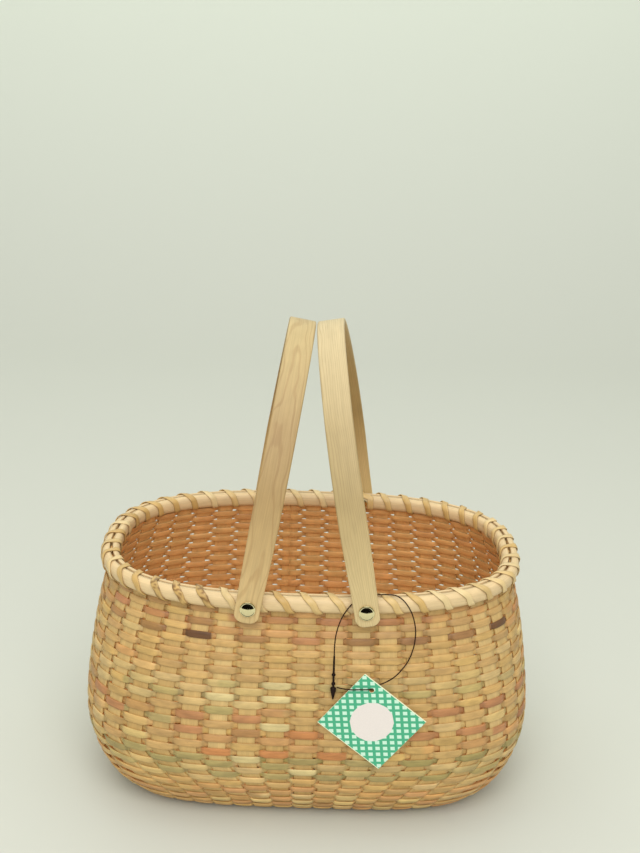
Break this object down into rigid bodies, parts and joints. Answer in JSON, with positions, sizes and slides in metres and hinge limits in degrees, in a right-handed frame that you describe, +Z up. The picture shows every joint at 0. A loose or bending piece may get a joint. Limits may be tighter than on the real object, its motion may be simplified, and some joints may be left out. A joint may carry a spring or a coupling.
{
  "type": "picnic basket",
  "caption": "Small oval woven basket with a lashed wooden rim and two bent-wood swing handles, for carrying food or small goods.",
  "frame": {"origin": "on the floor, under the middle of the basket, which is the bottom centre of its box without the tag's cord, card and plug", "axes": "+Z up, +X along the basket's length, -Y towards the long side that the tag hangs on; the rivets' axes run along Y"},
  "size_m": [0.2602, 0.1841, 0.2742],
  "materials": {
    "weavers": "satin",
    "stakes": "satin",
    "hoops": "satin",
    "lashing": "satin",
    "handles": "satin",
    "rivets": "polished",
    "tag": "matte",
    "plug": "satin",
    "cord": "matte"
  },
  "bodies": {
    "basket": {"weave_shell": "weavers", "cross_stake_01": "stakes", "cross_stake_02": "stakes", "cross_stake_03": "stakes", "cross_stake_04": "stakes", "cross_stake_05": "stakes", "cross_stake_06": "stakes", "cross_stake_07": "stakes", "cross_stake_08": "stakes", "cross_stake_09": "stakes", "cross_stake_10": "stakes", "cross_stake_11": "stakes", "cross_stake_12": "stakes", "cross_stake_13": "stakes", "cross_stake_14": "stakes", "cross_stake_15": "stakes", "long_stake_01": "stakes", "long_stake_02": "stakes", "long_stake_03": "stakes", "long_stake_04": "stakes", "long_stake_05": "stakes", "long_stake_06": "stakes", "long_stake_07": "stakes", "long_stake_08": "stakes", "long_stake_09": "stakes", "outer_hoop": "hoops", "inner_hoop": "hoops", "rim_lashing": "lashing", "rivet_front_left": "rivets", "rivet_front_right": "rivets", "rivet_rear_left": "rivets", "rivet_rear_right": "rivets", "clinch_front_left": "rivets", "clinch_front_right": "rivets", "clinch_rear_left": "rivets", "clinch_rear_right": "rivets", "tag_card": "tag", "tag_lock": "plug", "tag_cord": "cord"},
    "left_handle": {"handle_left": "handles"},
    "right_handle": {"handle_right": "handles"}
  },
  "joints": [
    {"name": "left_handle_swing", "type": "hinge", "parent": "basket", "child": "left_handle", "pos_m": [-0.03146, 0, 0.1367], "axis": [0, -1, 0], "range_deg": [0, 126]},
    {"name": "right_handle_swing", "type": "hinge", "parent": "basket", "child": "right_handle", "pos_m": [0.03146, 0, 0.1367], "axis": [0, 1, 0], "range_deg": [0, 126]}
  ]
}
